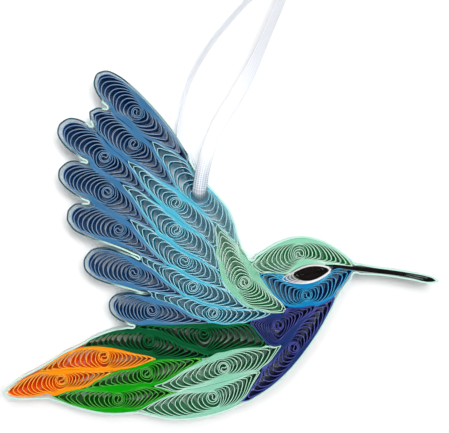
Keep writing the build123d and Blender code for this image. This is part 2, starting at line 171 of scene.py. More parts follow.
@dataclass(frozen=True)
class PaperFinish:
    """Through-dyed quilling paper, rolled from strips that were slit from a smooth sheet.

    Attributes:
        name: Name of the real material.
        face: Colour of the strip's broad faces, which show as walls inside the coils.
        edge: Colour of the slit edge where turns lie pressed together.
        free_edge_highlight: Paler colour of the slit edge of a turn that stands free, a painted highlight
            where it catches the light.
        painted_shade_edge: Colour of painted shade on the slit edge where the strip curls outwards round a
            wing tip, or nothing where there is none.
        roughness: Roughness of the smooth faces.
        translucency: Share of the light that the faces let through.
        gloss: Specular level of the faces, which mirror little and so keep their colour.
        slit_roughness: Roughness of the slit edges, where the fibres are cut open.
        slit_gloss: Specular level of the slit edges.
        fibre: Height of the fibres that stand out of the surface.
    """

    name: str
    face: str
    edge: str
    free_edge_highlight: str
    painted_shade_edge: str = ""
    roughness: float = 0.34
    translucency: float = 0.5
    gloss: float = 0.05
    slit_roughness: float = 0.8
    slit_gloss: float = 0.08
    fibre: float = 0.02 * MM

    def build(self) -> list[bpy.types.Material]:
        """Makes the materials for the strip's faces and for its slit edges."""
        return [self._face(), self._edge()]

    def _face(self) -> bpy.types.Material:
        """Makes the smooth dyed face.

        Returns:
            The material, in which the light that comes through colours the deep gaps.
        """
        material, tree, shader = new_material(f"{self.name} smooth face", self.roughness, self.gloss)
        shader.inputs["Base Color"].default_value = linear(self.face)
        self._raise_fibres(tree, shader, tuft=0.35 * MM, detail=3.0, strength=0.25)
        through = add_node(tree, "ShaderNodeBsdfTranslucent", {"Color": linear(self.face)})
        mix = add_node(tree, "ShaderNodeMixShader", {0: self.translucency},
                       {1: shader.outputs["BSDF"], 2: through.outputs["BSDF"]})
        tree.links.new(mix.outputs["Shader"], tree.nodes["Material Output"].inputs["Surface"])
        return material

    def _edge(self) -> bpy.types.Material:
        """Makes the slit edge.

        Returns:
            The dye's own colour where turns are pressed, a paler painted highlight where a turn stands free,
            and dark painted shade round the wing tips where the paper has it.
        """
        material, tree, shader = new_material(f"{self.name} slit edge", self.slit_roughness,
                                              self.slit_gloss)
        # Paler painted highlight on the slit edge where a turn stands free.
        free = add_node(tree, "ShaderNodeAttribute", attribute_name="free")
        mix = add_node(tree, "ShaderNodeMix", {"A": linear(self.edge), "B": linear(self.free_edge_highlight)},
                       {"Factor": free.outputs["Fac"]}, data_type="RGBA")
        if self.painted_shade_edge:
            # Dark painted shade on the contour's slit edge round the wing tips.
            tip_shade = add_node(tree, "ShaderNodeAttribute", attribute_name="tip_shade")
            mix = add_node(tree, "ShaderNodeMix", {"B": linear(self.painted_shade_edge)},
                           {"A": mix.outputs["Result"], "Factor": tip_shade.outputs["Fac"]},
                           data_type="RGBA")
        tree.links.new(mix.outputs["Result"], shader.inputs["Base Color"])
        self._raise_fibres(tree, shader, tuft=0.12 * MM, detail=2.0, strength=0.3)
        return material

    def _raise_fibres(self, tree: bpy.types.NodeTree, shader: bpy.types.Node, tuft: float,
                      detail: float, strength: float) -> None:
        """Raises the paper's fibres.

        Args:
            tree: The node tree that they go into.
            shader: The shader that takes them.
            tuft: Width of a tuft of fibres.
            detail: Steps of finer fibres inside it.
            strength: How strongly they show.
        """
        place = add_node(tree, "ShaderNodeTexCoord")
        fibres = add_node(tree, "ShaderNodeTexNoise", {"Scale": 1 / tuft, "Detail": detail},
                          {"Vector": place.outputs["Object"]})
        bump = add_node(tree, "ShaderNodeBump", {"Strength": strength, "Distance": self.fibre},
                        {"Height": fibres.outputs["Fac"]})
        tree.links.new(bump.outputs["Normal"], shader.inputs["Normal"])


class Paper(Enum):
    """The papers that the bird is rolled from."""

    MINT_GREEN = PaperFinish("mint green quilling paper", "54DCA4", "8FD6B4", "D0F2E1")
    PALE_GREEN = PaperFinish("pale green quilling paper", "48C48C", "8FD3B6", "C6EEDB")
    TURQUOISE = PaperFinish("turquoise quilling paper", "00C4DA", "52BEDA", "AEE0EA")
    AZURE = PaperFinish("azure quilling paper", "0E66C0", "0A84BE", "50B2DC")
    STEEL_BLUE = PaperFinish("steel blue quilling paper", "2A7CBA", "407BAA", "82A4C5")
    NAVY = PaperFinish("navy quilling paper", "15297A", "1E336C", "585CAC")
    DARK_GREEN = PaperFinish("dark green quilling paper", "075023", "03552D", "17733F")
    BRIGHT_GREEN = PaperFinish("bright green quilling paper", "0E8F06", "04A004", "5CC050")
    ORANGE = PaperFinish("orange quilling paper", "FF9302", "FF950A", "FDBB42")
    WHITE = PaperFinish("white quilling paper", "F4F2EE", "FAF9F6", "FFFFFF")
    NEAR_BLACK = PaperFinish("near-black quilling paper", "0E0B0B", "14100F", "2A2220", roughness=0.5,
                             translucency=0.0)
    # The pale mint contour's dark slate edge colour is painted shade round the wing tips.
    MINT_CONTOUR = PaperFinish("pale mint quilling paper", "F8FCFB", "C8F0E4", "E4FBF5",
                               painted_shade_edge="23505E")

    @property
    def slot(self) -> str:
        """Material slot of the record."""
        return f"{self.name.lower()}_paper"


@dataclass(frozen=True)
class RibbonFinish:
    """White ribbon woven from polyester thread, with painted shade between its threads that is darker and
    bluer near the slot.

    Attributes:
        name: Name of the real material.
        colour: Colour of the threads.
        shade: Painted shade between them.
        slot_shade: Darker, bluer painted shade between them near the slot, with a painted reflection of the
            turquoise coil round it.
        rib: Distance between the ribs along the ribbon, as coarse as it needs to be to show.
        thread: Distance between the threads that cross them, as coarse.
        slot_shade_until: Distance from the slot by which that darker painted shade has faded into the lighter
            one.
        waver: How unevenly the threads run.
        crossing: Share that the crossing threads have in the pattern.
        relief: Height of the weave.
        roughness: Roughness of the threads.
    """

    name: str = "white woven polyester ribbon"
    colour: str = "F7F9FD"
    shade: str = "E8EBF4"
    slot_shade: str = "9FB4C6"
    rib: float = 0.52 * MM
    thread: float = 0.46 * MM
    slot_shade_until: float = 11.0 * MM
    waver: float = 1.3
    crossing: float = 0.42
    relief: float = 0.08 * MM
    roughness: float = 0.45

    def build(self) -> bpy.types.Material:
        """Makes the material.

        Returns:
            Ribs along the ribbon crossed by threads, with painted shade between them.
        """
        material, tree, shader = new_material(self.name, self.roughness)
        place = add_node(tree, "ShaderNodeUVMap", uv_map=WEAVE_MAP)
        ribs, cross = (add_node(tree, "ShaderNodeTexWave",
                                {"Scale": WAVE_SCALE / spacing, "Distortion": self.waver,
                                 "Detail": 1.0, "Detail Scale": 2.0},
                                {"Vector": place.outputs["UV"]}, bands_direction=way)
                       for spacing, way in ((self.rib, "X"), (self.thread, "Y")))
        weave = add_node(tree, "ShaderNodeMix", {"Factor": self.crossing},
                         {"A": ribs.outputs["Fac"], "B": cross.outputs["Fac"]}, data_type="FLOAT")
        run = add_node(tree, "ShaderNodeSeparateXYZ", links={0: place.outputs["UV"]})
        # Painted shade between the threads, darker and bluer near the slot, fading to the lighter shade
        # farther up.
        closed = add_node(tree, "ShaderNodeMapRange", {"From Min": self.slot_shade_until / 2,
                                                        "From Max": self.slot_shade_until},
                          {"Value": run.outputs["Y"]})
        shade = add_node(tree, "ShaderNodeMix", {"A": linear(self.slot_shade), "B": linear(self.shade)},
                         {"Factor": closed.outputs["Result"]}, data_type="RGBA")
        tint = add_node(tree, "ShaderNodeMix", {"B": linear(self.colour)},
                        {"Factor": weave.outputs["Result"], "A": shade.outputs["Result"]}, data_type="RGBA")
        bump = add_node(tree, "ShaderNodeBump", {"Strength": 0.6, "Distance": self.relief},
                        {"Height": weave.outputs["Result"]})
        tree.links.new(tint.outputs["Result"], shader.inputs["Base Color"])
        tree.links.new(bump.outputs["Normal"], shader.inputs["Normal"])
        return material


@dataclass(frozen=True)
class TableFinish:
    """Matt white board, which is clear from behind.

    Attributes:
        name: Name of the real material.
        colour: Its colour.
        glow: Share of white that it gives to the eye alone.
        roughness: Roughness of its surface.
    """

    name: str = "matt white board"
    colour: str = "FAFAFA"
    glow: float = 0.01
    roughness: float = 0.9

    def build(self) -> bpy.types.Material:
        """Makes the material.

        Returns:
            White from the front; clear to the eye behind it and to the light of the rear lamp.
        """
        material, tree, shader = new_material(self.name, self.roughness)
        shader.inputs["Base Color"].default_value = linear(self.colour)
        glow = add_node(tree, "ShaderNodeMath", {1: self.glow}, {0: seen_directly(tree)},
                        operation="MULTIPLY")
        shader.inputs["Emission Color"].default_value = (1, 1, 1, 1)
        tree.links.new(glow.outputs["Value"], shader.inputs["Emission Strength"])
        side = add_node(tree, "ShaderNodeNewGeometry")
        path = add_node(tree, "ShaderNodeLightPath")
        way = add_node(tree, "ShaderNodeMath", links={0: side.outputs["Backfacing"],
                                                      1: path.outputs["Is Shadow Ray"]}, operation="MAXIMUM")
        clear = add_node(tree, "ShaderNodeBsdfTransparent")
        mix = add_node(tree, "ShaderNodeMixShader",
                       links={0: way.outputs["Value"], 1: shader.outputs["BSDF"], 2: clear.outputs["BSDF"]})
        tree.links.new(mix.outputs["Shader"], tree.nodes["Material Output"].inputs["Surface"])
        return material


# Flat outlines

KEPT_CORNER = 60.0      # turning angle in degrees above which a corner isn't evened out


def front_loops(solid: bpy.types.Object) -> list[np.ndarray]:
    """Finds the closed edges of a solid's front face.

    Args:
        solid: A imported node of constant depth.

    Returns:
        One array of X and Z corners for each closed edge, the largest first.
    """
    mesh = solid.data
    places = np.array([v.co for v in mesh.vertices])
    front = places[:, 1].min()
    keys = [(round(p[0] * 1e7), round(p[2] * 1e7)) for p in places]
    uses: dict[tuple, int] = {}
    for polygon in mesh.polygons:
        if all(places[v][1] < front + 1e-6 for v in polygon.vertices):
            ring = [keys[v] for v in polygon.vertices]
            for pair in zip(ring, ring[1:] + ring[:1]):
                uses[pair] = uses.get(pair, 0) + 1
    after = {start: end for start, end in uses if (end, start) not in uses}
    loops = []
    while after:
        start, place = after.popitem()
        loop = [start]
        while place != loop[0]:
            loop.append(place)
            place = after.pop(place)
        loops.append(np.array(loop) * 1e-7)
    return sorted(loops, key=lambda loop: -abs(area(loop)))


def area(loop: np.ndarray) -> float:
    """Signed area inside a closed loop, positive when it runs anticlockwise."""
    x, z = loop.T
    return float(np.sum(x * np.roll(z, -1) - np.roll(x, -1) * z) / 2)


def smoothed(loop: np.ndarray, corner: float, step: float, easing: float = 0.0) -> np.ndarray:
    """Runs an even curve through a closed loop, with its sharp corners kept.

    Args:
        loop: Corners of the closed loop.
        corner: Turning angle in degrees above which a corner stays sharp.
        step: Distance between the points of the result.
        easing: Length over which small bumps are evened out, away from the sharp corners.

    Returns:
        Evenly spaced points, anticlockwise.
    """
    if area(loop) < 0:
        loop = loop[::-1]
    before = loop - np.roll(loop, 1, 0)
    after = np.roll(loop, -1, 0) - loop
    turn = np.arctan2(before[:, 0] * after[:, 1] - before[:, 1] * after[:, 0], (before * after).sum(1))
    sharp = np.abs(turn) > math.radians(corner)
    length_before = np.linalg.norm(before, axis=1)[:, None]
    length_after = np.linalg.norm(after, axis=1)[:, None]
    tangent = (before / length_before * length_after + after / length_after * length_before)
    tangent /= length_before + length_after
    pieces = []
    for index in range(len(loop)):
        start, end = loop[index], loop[(index + 1) % len(loop)]
        chord = np.linalg.norm(end - start)
        leave = (end - start) / chord if sharp[index] else tangent[index]
        arrive = (end - start) / chord if sharp[(index + 1) % len(loop)] else tangent[(index + 1) % len(loop)]
        t = np.linspace(0, 1, max(2, int(chord / step * 2)), endpoint=False)[:, None]
        pieces.append((2 * t ** 3 - 3 * t ** 2 + 1) * start + (t ** 3 - 2 * t ** 2 + t) * leave * chord
                      + (3 * t ** 2 - 2 * t ** 3) * end + (t ** 3 - t ** 2) * arrive * chord)
    even = spaced(np.vstack(pieces), step)
    if not easing:
        return even
    away = np.full(len(even), 1.0)
    for place in loop[np.abs(turn) > math.radians(KEPT_CORNER)]:
        away = np.minimum(away, np.linalg.norm(even - place, axis=1))
    loose = np.clip(away / easing - 0.3, 0, 1)[:, None]
    for _ in range(int(2 * (easing / step) ** 2)):
        even = even + loose * ((np.roll(even, 1, 0) + np.roll(even, -1, 0)) / 2 - even) / 2
    return even


def run_of(line: np.ndarray) -> np.ndarray:
    """Distance along a line at each of its points."""
    return np.concatenate([[0], np.cumsum(np.linalg.norm(np.diff(line, axis=0), axis=1))])


def spaced(loop: np.ndarray, step: float) -> np.ndarray:
    """Spaces the points of a closed loop evenly.

    Args:
        loop: Corners of the loop.
        step: Wanted distance between the points.

    Returns:
        Points about a step apart.
    """
    closed = np.vstack([loop, loop[:1]])
    along = run_of(closed)
    places = np.linspace(0, along[-1], max(8, round(along[-1] / step)), endpoint=False)
    return np.column_stack([np.interp(places, along, closed[:, axis]) for axis in (0, 1)])


def outward(points: np.ndarray, closed: bool = True) -> np.ndarray:
    """Finds the way out of a path.

    Args:
        points: Points along the path, anticlockwise.
        closed: Whether its ends meet.

    Returns:
        Unit vectors at right angles to the path.
    """
    if closed:
        along = np.roll(points, -1, 0) - np.roll(points, 1, 0)
    else:
        along = np.gradient(points, axis=0)
    along /= np.maximum(np.linalg.norm(along, axis=1), 1e-12)[:, None]
    return np.column_stack([along[:, 1], -along[:, 0]])


def softened(path: np.ndarray, rounds: int) -> np.ndarray:
    """Eases the corners of a closed path.

    Args:
        path: Points or values round the path.
        rounds: How often each is moved towards its neighbours.

    Returns:
        The eased path.
    """
    for _ in range(rounds):
        path = (np.roll(path, 1, 0) + 2 * path + np.roll(path, -1, 0)) / 4
    return path


def apart(angles: np.ndarray, middle: float) -> np.ndarray:
    """Unsigned turn in radians from a middle angle to each of the others."""
    return np.abs(np.mod(angles - middle + math.pi, math.tau) - math.pi)


# Paper strips

TIP_SEARCH = math.radians(60)       # angle to either side of its heading in which a coil's tip is sought
FOOT_SEARCH = math.radians(80)      # the same for its foot, opposite the tip
EYE_TURNS = 0.82 * MM               # radius of the innermost round turn that the tool leaves
FREE_GAP = 0.5 * MM                 # room beside a turn, beyond the pressed pitch, that makes it free
WAVES = (0.37, 0.93, 2.1)           # waves to a turn along the strip's uneven front edge
WAVE_DEPTH = 0.03 * MM


@dataclass
class Strip:
    """A paper strip that stands on its edge and follows a flat path.

    Attributes:
        path: X and Z of the middle of the strip along its length.
        thickness: Thickness of the paper.
        closed: Whether the strip's ends meet.
        free: How free the strip stands at each place, from 0 pressed to 1 alone, which sets how far its slit
            edge is lightened as a painted highlight.
        recess: How far the front edge lies behind the front of the bird at each place.
        tip_shade: 1 where the strip curls outwards round a wing tip and its slit edge takes painted shade, 0
            elsewhere.
    """

    path: np.ndarray
    thickness: float = PAPER * 0.92
    closed: bool = False
    free: np.ndarray | float = 1.0
    recess: np.ndarray | float = 0.0
    tip_shade: np.ndarray | None = None

    def mesh(self, name: str) -> bpy.types.Mesh:
        """Builds the strip.

        Args:
            name: Name of the mesh.

        Returns:
            The strip with its two faces, its two slit edges and its cut ends.
        """
        count = len(self.path)
        side = outward(self.path, self.closed) * self.thickness / 2
        recess = np.broadcast_to(self.recess, count)
        outer, inner = self.path + side, self.path - side
        front = -STRIP_DEPTH / 2 + recess
        back = STRIP_DEPTH / 2 - recess * 0.5
        rows = [np.column_stack([edge[:, 0], depth, edge[:, 1]])
                for edge, depth in ((outer, front), (inner, front), (inner, back), (outer, back))]
        verts = np.stack(rows, axis=1).reshape(-1, 3)
        here = np.arange(count if self.closed else count - 1)
        there = (here + 1) % count
        faces = []
        kinds = []
        for first in range(4):
            second = (first + 1) % 4
            faces.append(np.column_stack([here * 4 + first, there * 4 + first, there * 4 + second,
                                          here * 4 + second]))
            kind = Placement.CUT_EDGE if first in (0, 2) else Placement.FACE
            kinds += [kind.value] * len(here)
        quads = np.vstack(faces).tolist()
        if not self.closed:
            last = (count - 1) * 4
            quads += [[0, 1, 2, 3], [last + 3, last + 2, last + 1, last]]
            kinds += [Placement.CUT_EDGE.value] * 2
        mesh = bpy.data.meshes.new(name)
        mesh.from_pydata(verts.tolist(), [], quads)
        mesh.polygons.foreach_set("material_index", kinds)
        mesh.polygons.foreach_set("use_smooth", [True] * len(quads))
        sharp = mesh.attributes.new("sharp_edge", "BOOLEAN", "EDGE")
        sharp.data.foreach_set("value", [edge.vertices[0] // 4 != edge.vertices[1] // 4
                                         for edge in mesh.edges])
        for title, values in (("free", self.free), ("tip_shade", self.tip_shade)):
            if values is not None:
                attribute = mesh.attributes.new(title, "FLOAT", "POINT")
                attribute.data.foreach_set("value", np.repeat(np.broadcast_to(values, count), 4))
        mesh.update()
        return mesh


def joined(name: str, meshes: Sequence[bpy.types.Mesh], materials: Sequence[bpy.types.Material],
           node: str) -> bpy.types.Object:
    """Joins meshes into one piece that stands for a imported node.

    Args:
        name: Name of the piece.
        meshes: What it is made of.
        materials: Its materials, in the order of the faces' indices.
        node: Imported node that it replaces.

    Returns:
        The piece, fixed to the bird.
    """
    objects = []
    for mesh in meshes:
        for material in materials:
            mesh.materials.append(material)
        made = bpy.data.objects.new(name, mesh)
        bpy.context.scene.collection.objects.link(made)
        objects.append(made)
    if len(objects) > 1:
        with bpy.context.temp_override(active_object=objects[0], selected_editable_objects=objects):
            bpy.ops.object.join()
    made = objects[0]
    made.name = name
    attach(made, BODY)
    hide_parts(node)
    return made


@dataclass
class Piece:
    """A piece of the bird that is made of paper strips.

    Attributes:
        form: What its strips make, for its name.
        node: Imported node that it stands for.
        paper: Paper that it is made from.
    """

    form = "turns"
    node: str
    paper: Paper

    def build(self, solid: bpy.types.Object) -> bpy.types.Object:
        """Builds the piece.

        Args:
            solid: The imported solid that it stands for.

        Returns:
            The piece, inside the outline of that solid.
        """
        meshes = [strip.mesh(self.node) for strip in self._strips(solid)]
        return joined(f"{self.node}.{self.form}", meshes, self.paper.value.build(), self.node)

    def _strips(self, solid: bpy.types.Object) -> list[Strip]:
        """Strips of the piece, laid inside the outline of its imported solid."""
        raise NotImplementedError


@dataclass(frozen=True)
class End:
    """One pinched or rounded end of a coil, as seen from the coil's eye.

    Attributes:
        growth: Above 1, the turns' spacing grows from the eye towards this end.
        lean: Lean of the turns' round ends towards the left, as seen from the eye.
        sharpness: 0 for round turns, 1 for pointed ones beside a pinched end.
        stand_off: Extra room inside the outermost turn, in its spacings.
        retreat: How far the outermost turn stands back from the contour here.
    """

    growth: float = 1.2
    lean: float = 0.0
    sharpness: float = 0.6
    stand_off: float = 0.0
    retreat: float = 0.0


@dataclass
class Coil(Piece):
    """One strip rolled on a slotted tool, let go, pinched to shape and glued by its edge.

    Attributes:
        eye: X and Z of its eye, from the slot that the ribbon passes through, in millimetres.
        turns: Number of long turns round the eye.
        seed: Start of the small irregularities.
        tip: How the turns lie towards the coil's tip.
        foot: How they lie towards the other end.
        eye_radius: Radius of the round turns in the eye, or of the ribbon's opening.
        open_eye: Whether the eye holds the ribbon instead of round turns.
        heading: Direction of the tip from the eye in degrees, or nothing where it is the farther end.
        pitch: Distance between two turns that lie pressed.
        step: Distance between the points of its outline.
    """

    eye: tuple[float, float]
    turns: int
    seed: int
    tip: End = End()
    foot: End = End(growth=1.45)
    eye_radius: float = 1.35 * MM
    open_eye: bool = False
    heading: float | None = None
    pitch: float = 0.185 * MM
    step: float = 0.3 * MM

    def _strips(self, solid: bpy.types.Object) -> list[Strip]:
        """Rolls the coil.

        Args:
            solid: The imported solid.

        Returns:
            The one strip, which ends along the solid's edge.
        """
        outline = smoothed(front_loops(solid)[0], corner=50, step=self.step, easing=0.6 * MM)
        path, free, recess = self._spiral(outline - outward(outline) * PAPER / 2)
        return [Strip(path, free=free, recess=recess)]

    def _quarters(self, angles: np.ndarray, sides: np.ndarray, mouth: tuple[float, float]
                  ) -> list[tuple[End, float, np.ndarray, np.ndarray]]:
        """Splits the spokes between the two ends and the two sides.

        Args:
            angles: Angle of each spoke.
            sides: Length of each spoke up to the turn's pressed sides.
            mouth: Angles of the coil's tip and foot.

        Returns:
            For each quarter its end, the sign of its side, its spokes, and their angles from the
            end, stretched so that half-way to the other end is a right angle.
        """
        peaks = []
        for middle in mouth:
            near = np.flatnonzero(apart(angles, middle) < 0.45)
            peaks.append(angles[near[int(np.argmax(sides[near]))]])
        turn = np.mod(angles - peaks[0], math.tau)
        foot = float(np.mod(peaks[1] - peaks[0], math.tau))
        quarters = []
        for end, side, low, high, start in (
                (self.tip, 1, 0.0, foot / 2, 0.0), (self.foot, -1, foot / 2, foot, foot),
                (self.foot, 1, foot, (foot + math.tau) / 2, foot),
                (self.tip, -1, (foot + math.tau) / 2, math.tau, math.tau)):
            spokes = np.flatnonzero((turn >= low) & (turn < high))
            away = np.abs(turn[spokes] - start) * (math.pi / 2) / (high - low)
            order = np.argsort(-away)
            quarters.append((end, side, spokes[order], away[order]))
        return quarters

    def _level(self, number: int, angles: np.ndarray, full: dict[int, float], sides: np.ndarray,
               bound: np.ndarray, mouth: tuple[float, float], chance: np.random.Generator) -> np.ndarray:
        """Distance from the eye to one turn, on each spoke.

        Args:
            number: The turn, counted from the eye.
            angles: Angle of each spoke.
            full: Distance from the eye to each end of the coil.
            sides: Distance to the turn where it lies pressed along the coil's sides.
            bound: Farthest that the turn may lie without entering the turn outside it.
            mouth: Angles of the coil's tip and foot.
            chance: Source of the small irregularities.

        Returns:
            Distances that follow the sides and round off towards both ends.
        """
        share = number / self.turns
        level = np.minimum(sides, bound)
        jitter = {id(self.tip): chance.uniform(-0.2, 0.2), id(self.foot): chance.uniform(-0.2, 0.2)}
        for end, side, spokes, away in self._quarters(angles, sides, mouth):
            spread = (number + jitter[id(end)]) / (self.turns + end.stand_off)
            apex = self.eye_radius + (full[id(end)] - self.eye_radius) * max(spread, 0.0) ** end.growth
            apex = min(apex, sides[spokes[-1]] * 0.97, bound[spokes[-1]] - 0.2 * self.pitch)
            forward = np.maximum.accumulate(sides[spokes] * np.cos(away))
            sideways = sides[spokes] * np.sin(away)
            width = max(np.interp(apex * 0.75, forward, sideways), self.pitch)
            length = min(apex, width * (1.15 + 0.9 * end.sharpness * share))
            begin = apex - length
            power = 0.5 + 0.14 * end.sharpness * share
            low, high = np.zeros(len(spokes)), sides[spokes].copy()
            for _ in range(24):
                middle = (low + high) / 2
                ahead, aside = middle * np.cos(away), middle * np.sin(away)
                cap = np.clip((ahead - side * end.lean * share * aside - begin) / length, 0, 1)
                outside = aside > np.interp(ahead, forward, sideways) * (1 - cap ** 2) ** power
                outside |= cap >= 1
                low, high = np.where(outside, low, middle), np.where(outside, middle, high)
            level[spokes] = np.minimum(low, level[spokes])
        return np.minimum(softened(level, 4), bound)

    def _pressed(self, centre: np.ndarray, rays: np.ndarray, reach: np.ndarray, outline: np.ndarray,
                 insets: Sequence[float]) -> list[np.ndarray]:
        """Works out the pressed turns.

        Args:
            centre: X and Z of the eye.
            rays: Direction of each spoke.
            reach: Length of each spoke.
            outline: Edge of the coil.
            insets: Distance of each turn from that edge.

        Returns:
            For each turn, the distance from the eye at which each spoke meets it.
        """
        shares = np.linspace(0, 1, 61)
        grid = centre + rays[:, None] * (reach[:, None] * shares)[:, :, None]
        gap = np.full(grid.shape[:2], 1.0)
        for corner, following in zip(outline, np.roll(outline, -1, 0)):
            edge = following - corner
            off = grid - corner
            along = np.clip((off @ edge) / (edge @ edge), 0, 1)
            gap = np.minimum(gap, np.linalg.norm(off - along[..., None] * edge, axis=2))
        levels = []
        for inset in insets:
            near = gap < inset
            near[:, -1] = True
            first = np.maximum(np.argmax(near, axis=1), 1)
            rows = np.arange(len(rays))
            before, after = gap[rows, first - 1], gap[rows, first]
            part = np.clip((before - inset) / np.maximum(before - after, 1e-9), 0, 1)
            levels.append(reach * (shares[first - 1] + part * (shares[first] - shares[first - 1])))
        return levels

    def _spiral(self, outline: np.ndarray) -> tuple[np.ndarray, np.ndarray, np.ndarray]:
        """Lays the strip round the eye.

        Args:
            outline: Edge of the coil.

        Returns:
            Path of the strip from its inner tail to its glued end, its freedom and its recess.
        """
        centre = np.array([SLOT_X + self.eye[0] * MM, SLOT_Z + self.eye[1] * MM])
        rays = outline - centre
        reach = np.linalg.norm(rays, axis=1)
        angles = np.arctan2(rays[:, 1], rays[:, 0])
        order = np.argsort(angles)
        angles, reach, rays = angles[order], reach[order], rays[order] / reach[order][:, None]
        chance = np.random.default_rng(self.seed)
        tip = angles[int(np.argmax(reach))]
        if self.heading is not None:
            aim = math.radians(self.heading)
            near = apart(angles, aim) < TIP_SEARCH
            tip = angles[near][int(np.argmax(reach[near]))]
        if self.tip.retreat:
            reach = reach - self.tip.retreat * np.clip(1 - (apart(angles, tip) / 0.9) ** 2, 0, 1) ** 1.5
        far = apart(angles, tip - math.pi) < FOOT_SEARCH
        foot = angles[far][int(np.argmax(reach[far]))]
        near = apart(angles, tip) < TIP_SEARCH
        full = {id(self.tip): reach[near].max(), id(self.foot): reach[far].max()}
        room = (reach.min() - self.eye_radius) / self.turns
        pitch = min(self.pitch, room)
        LOG.info("%s: pitch %.3f mm", self.node, pitch / MM)
        insets = [pitch * (self.turns - number) for number in range(self.turns)]
        pressed = self._pressed(centre, rays, reach, outline, insets)
        levels = [reach]
        for number in range(self.turns - 1, 0, -1):
            bound = levels[-1] - pitch
            levels.append(self._level(number, angles, full, pressed[number], bound, (tip, foot), chance))
        levels.append(np.minimum(self.eye_radius, levels[-1] - pitch * 0.8))
        levels.reverse()
        count = len(angles)
        shift = (int(np.argmax(reach)) + np.arange(count)) % count
        share = np.arange(count) / count
        points, free = [], []
        for k in range(self.turns + 1):
            low = levels[k][shift]
            high = levels[min(k + 1, self.turns)][shift]
            room = high - low if k < self.turns else np.full(count, self.pitch)
            inner = low - levels[k - 1][shift] if k else np.full(count, 0.4 * MM)
            gap = np.minimum(inner, np.where(room > self.pitch * 1.4, room, inner))
            points.append(centre + rays[shift] * (low * (1 - share) + high * share)[:, None])
            free.append(np.clip((gap - self.pitch) / FREE_GAP, 0, 1))
        path, loose = np.vstack(points), np.concatenate(free)
        if not self.open_eye:
            tail = self._tail(centre, path[0], chance)
            path = np.vstack([tail, path])
            loose = np.concatenate([np.ones(len(tail)), loose])
        waves = np.arange(len(path)) / count
        recess = np.zeros(len(path))
        for speed in WAVES:
            recess += WAVE_DEPTH * (1 + np.sin(math.tau * (waves * speed + chance.uniform(0, 1))))
        return path, loose, recess

    def _tail(self, centre: np.ndarray, start: np.ndarray, chance: np.random.Generator) -> np.ndarray:
        """Rolls the eye round the slotted tool.

        Args:
            centre: X and Z of the eye.
            start: Where the long turns start.
            chance: Source of the small irregularities.

        Returns:
            The inner end, which the tool left bent like an S, and the round turns.
        """
        circles = chance.uniform(1.3, 1.9)
        last = math.atan2(*(start - centre)[::-1])
        outer = float(np.linalg.norm(start - centre))
        sweep = np.linspace(-circles * math.tau, 0, int(circles * 30), endpoint=False)
        share = 1 + sweep / (circles * math.tau)
        bulge = 1 + 0.05 * np.sin(sweep * 2 + chance.uniform(0, 6)) * share
        radius = (EYE_TURNS + (outer - EYE_TURNS) * share ** 1.1) * bulge
        rounds = centre + np.column_stack([np.cos(sweep + last), np.sin(sweep + last)]) * radius[:, None]
        arm = rounds[0] - centre
        base = math.atan2(arm[1], arm[0])
        half = float(np.linalg.norm(arm)) / 2
        hook = chance.uniform(0.35, 0.8)
        near = np.linspace(math.pi, math.tau, 12, endpoint=False) + base
        first = centre + arm * 0.5 + half * np.column_stack([np.cos(near), np.sin(near)])
        far = np.linspace(math.pi * hook, 0, 10, endpoint=False) + base
        second = centre - arm * 0.5 + half * np.column_stack([np.cos(far), np.sin(far)])
        return np.vstack([second, first, rounds])


@dataclass
class EyeRing(Piece):
    """White strip rolled into an almond round the eye, its turns apart only at the rear corner.

    Attributes:
        turns: Number of turns between the seat of the core and the outer edge.
        thickness: Thickness of the strip.
        spokes: Number of places round each turn.
    """

    node: str = "eye_ring"
    paper: Paper = Paper.WHITE
    turns: int = 4
    thickness: float = 0.12 * MM
    spokes: int = 260

    def _strips(self, solid: bpy.types.Object) -> list[Strip]:
        """Rolls the ring.

        Args:
            solid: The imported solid.

        Returns:
            The one strip, which runs outwards between the solid's two closed edges.
        """
        outer, inner = front_loops(solid)[:2]
        centre = inner.mean(axis=0)
        angles = np.linspace(-math.pi, math.pi, self.spokes, endpoint=False)
        far = self._reach(outer, centre, angles) - self.thickness / 2
        near = self._reach(inner, centre, angles) + self.thickness / 2
        share = np.arange(self.spokes) / self.spokes
        rays = np.column_stack([np.cos(angles), np.sin(angles)])
        points = []
        for turn in range(self.turns):
            place = np.clip((turn + share) / (self.turns - 1), 0, 1)
            points.append(centre + rays * (near + (far - near) * place)[:, None])
        # Turns past the first stand free and take the painted highlight on their slit edge.
        free = np.repeat(np.arange(self.turns) > 0, self.spokes).astype(float)
        return [Strip(np.vstack(points), self.thickness, free=free)]

    def _reach(self, loop: np.ndarray, centre: np.ndarray, angles: np.ndarray) -> np.ndarray:
        """Measures a closed edge from inside.

        Args:
            loop: Corners of the edge.
            centre: X and Z of the place inside it.
            angles: Directions from that place.

        Returns:
            Distance to the edge in each direction.
        """
        rays = smoothed(loop, corner=50, step=0.1 * MM) - centre
        own = np.arctan2(rays[:, 1], rays[:, 0])
        order = np.argsort(own)
        return np.interp(angles, own[order], np.linalg.norm(rays, axis=1)[order], period=math.tau)


